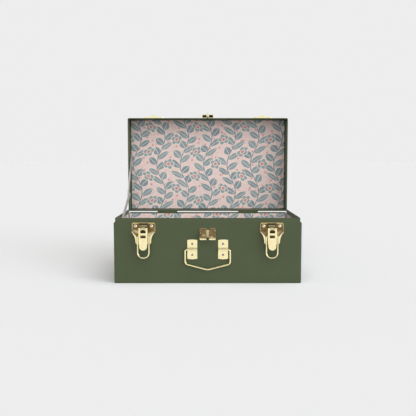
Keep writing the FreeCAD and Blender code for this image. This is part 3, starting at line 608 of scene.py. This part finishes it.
# The handle rivets' nickel is painted darker: painted shade.
shaded_nickel = steel_plating("shaded_nickel", SHADED_NICKEL_TONES, 1, NICKEL_ROUGHNESS)
zinc = steel_plating("zinc_plate", ZINC_TONES, ZINC_BARE_SHARE, ZINC_ROUGHNESS)
for row in ("latch_plate_rivets", "strike_rivets"):
    dress(row, nickel, RIVET_EDGE)
dress("handle_rivets", shaded_nickel, RIVET_EDGE)
for piece_name in ("base_stud", "lid_stud", "upper_arm", "lower_arm", "elbow_rivet", "base_rivet"):
    dress(f"stay_{piece_name}", zinc, BAR_EDGE)

# Studio
# A wide sheet of pale paper under a pale horizon with a warm dark ceiling above it, a soft low key lamp from
# the right, a broad weak one from the front, and a broad lamp high up, mirrored as a white screen overhead.
FLOOR_REACH = 40.0
FLOOR_CORNERS = (-1, -1), (1, -1), (1, 1), (-1, 1)
FLOOR_PALE = (0.58, 0.58, 0.58)
FLOOR_SEEN = (0.832, 0.870, 0.905)
FLOOR_SHINE = (0.985, 1.02, 1.05)
HORIZON = (1.0, 1.0, 1.0)
HORIZON_SEEN = (0.847, 0.847, 0.847)
HORIZON_TOP = 0.30
CEILING = (0.135, 0.086, 0.042)
CEILING_FOOT = 0.38
SCREEN = (0.80, 0.84, 0.875)
SCREEN_FOOT = 0.74
SCREEN_TOP = 0.86
KEY_STRENGTH = 0.80
KEY_SPREAD = math.radians(30)
KEY_HEIGHT = math.radians(13)
KEY_TURN = math.radians(58)
FRONT_STRENGTH = 0.46
FRONT_SPREAD = math.radians(60)
FRONT_HEIGHT = math.radians(9)
FRONT_TURN = 0.0
TOP_STRENGTH = 2.5
TOP_SPREAD = math.radians(74)
TOP_HEIGHT = math.radians(62)
TOP_TURN = math.radians(30)


def ray_kinds(tree):
    """Which rays come straight from the camera, and which by way of a mirror or glass."""
    rays = tree.nodes.new("ShaderNodeLightPath").outputs
    mirrored = sums(tree)("MAXIMUM", rays["Is Glossy Ray"], rays["Is Transmission Ray"])
    return rays["Is Camera Ray"], mirrored


floor_mesh = bpy.data.meshes.new("floor")
floor_points = [(x * FLOOR_REACH, y * FLOOR_REACH, 0) for x, y in FLOOR_CORNERS]
floor_mesh.from_pydata(floor_points, [], [range(len(floor_points))])
floor = bpy.data.objects.new("floor", floor_mesh)
bpy.context.scene.collection.objects.link(floor)
floor_finish, floor_tree, floor_shader, _ = new_finish("floor_paper")
floor_tree.nodes.remove(floor_shader)
floor_direct, floor_mirrored = ray_kinds(floor_tree)
floor_colour = blend_colours(floor_tree, floor_direct, FLOOR_PALE, FLOOR_SEEN)
floor_colour = blend_colours(floor_tree, floor_mirrored, floor_colour, FLOOR_SHINE)
matt = floor_tree.nodes.new("ShaderNodeBsdfDiffuse")
floor_tree.links.new(floor_colour, matt.inputs["Color"])
floor_tree.links.new(matt.outputs[0], floor_tree.nodes["Material Output"].inputs["Surface"])
floor_mesh.materials.append(floor_finish)

world = bpy.data.worlds.new("studio")
world.use_nodes = True
bpy.context.scene.world = world
sky_tree = world.node_tree
direction = sky_tree.nodes.new("ShaderNodeTexCoord")
height = sky_tree.nodes.new("ShaderNodeSeparateXYZ")
sky_tree.links.new(direction.outputs["Generated"], height.inputs[0])
sky = sky_tree.nodes.new("ShaderNodeValToRGB")
sky_tree.links.new(height.outputs["Z"], sky.inputs["Fac"])
horizon_stop, ceiling_stop = sky.color_ramp.elements
horizon_stop.position = HORIZON_TOP
horizon_stop.color = (*HORIZON, 1)
ceiling_stop.position = CEILING_FOOT
ceiling_stop.color = (*CEILING, 1)
overhead = sky_tree.nodes.new("ShaderNodeMapRange")
overhead.inputs["From Min"].default_value = SCREEN_FOOT
overhead.inputs["From Max"].default_value = SCREEN_TOP
sky_tree.links.new(height.outputs["Z"], overhead.inputs["Value"])
sky_direct, sky_mirrored = ray_kinds(sky_tree)
screen_share = sums(sky_tree)("MULTIPLY", sky_mirrored, overhead.outputs["Result"])
sky_colour = blend_colours(sky_tree, screen_share, sky.outputs["Color"], SCREEN)
sky_colour = blend_colours(sky_tree, sky_direct, sky_colour, HORIZON_SEEN)
sky_tree.links.new(sky_colour, sky_tree.nodes["Background"].inputs["Color"])

lamps = {
    "key": (KEY_STRENGTH, KEY_SPREAD, KEY_HEIGHT, KEY_TURN, True),
    "front": (FRONT_STRENGTH, FRONT_SPREAD, FRONT_HEIGHT, FRONT_TURN, False),
    "top": (TOP_STRENGTH, TOP_SPREAD, TOP_HEIGHT, TOP_TURN, False),
}
for name, (strength, breadth, height_angle, turn, seen_in_metal) in lamps.items():
    lamp = bpy.data.lights.new(name, "SUN")
    lamp.energy = strength
    lamp.angle = breadth
    holder = bpy.data.objects.new(name, lamp)
    holder.rotation_euler = (math.pi / 2 - height_angle, 0, turn)
    holder.visible_glossy = seen_in_metal
    bpy.context.scene.collection.objects.link(holder)

# Camera
# A 50 mm lens on a 36 mm wide sensor, a metre in front of the trunk and level with the middle of the open
# lid. It looks about five degrees down.
LENS_LENGTH = 50
SENSOR_WIDTH = 36
CAMERA_PLACE = (0.0005, -1.1005, 0.2185)
CAMERA_TILT = math.radians(85.15)

lens = bpy.data.cameras.new("camera")
lens.lens = LENS_LENGTH
lens.sensor_width = SENSOR_WIDTH
camera = bpy.data.objects.new("camera", lens)
camera.location = CAMERA_PLACE
camera.rotation_euler = (CAMERA_TILT, 0, 0)
bpy.context.scene.collection.objects.link(camera)
bpy.context.scene.camera = camera
bpy.context.scene.view_settings.view_transform = "Standard"
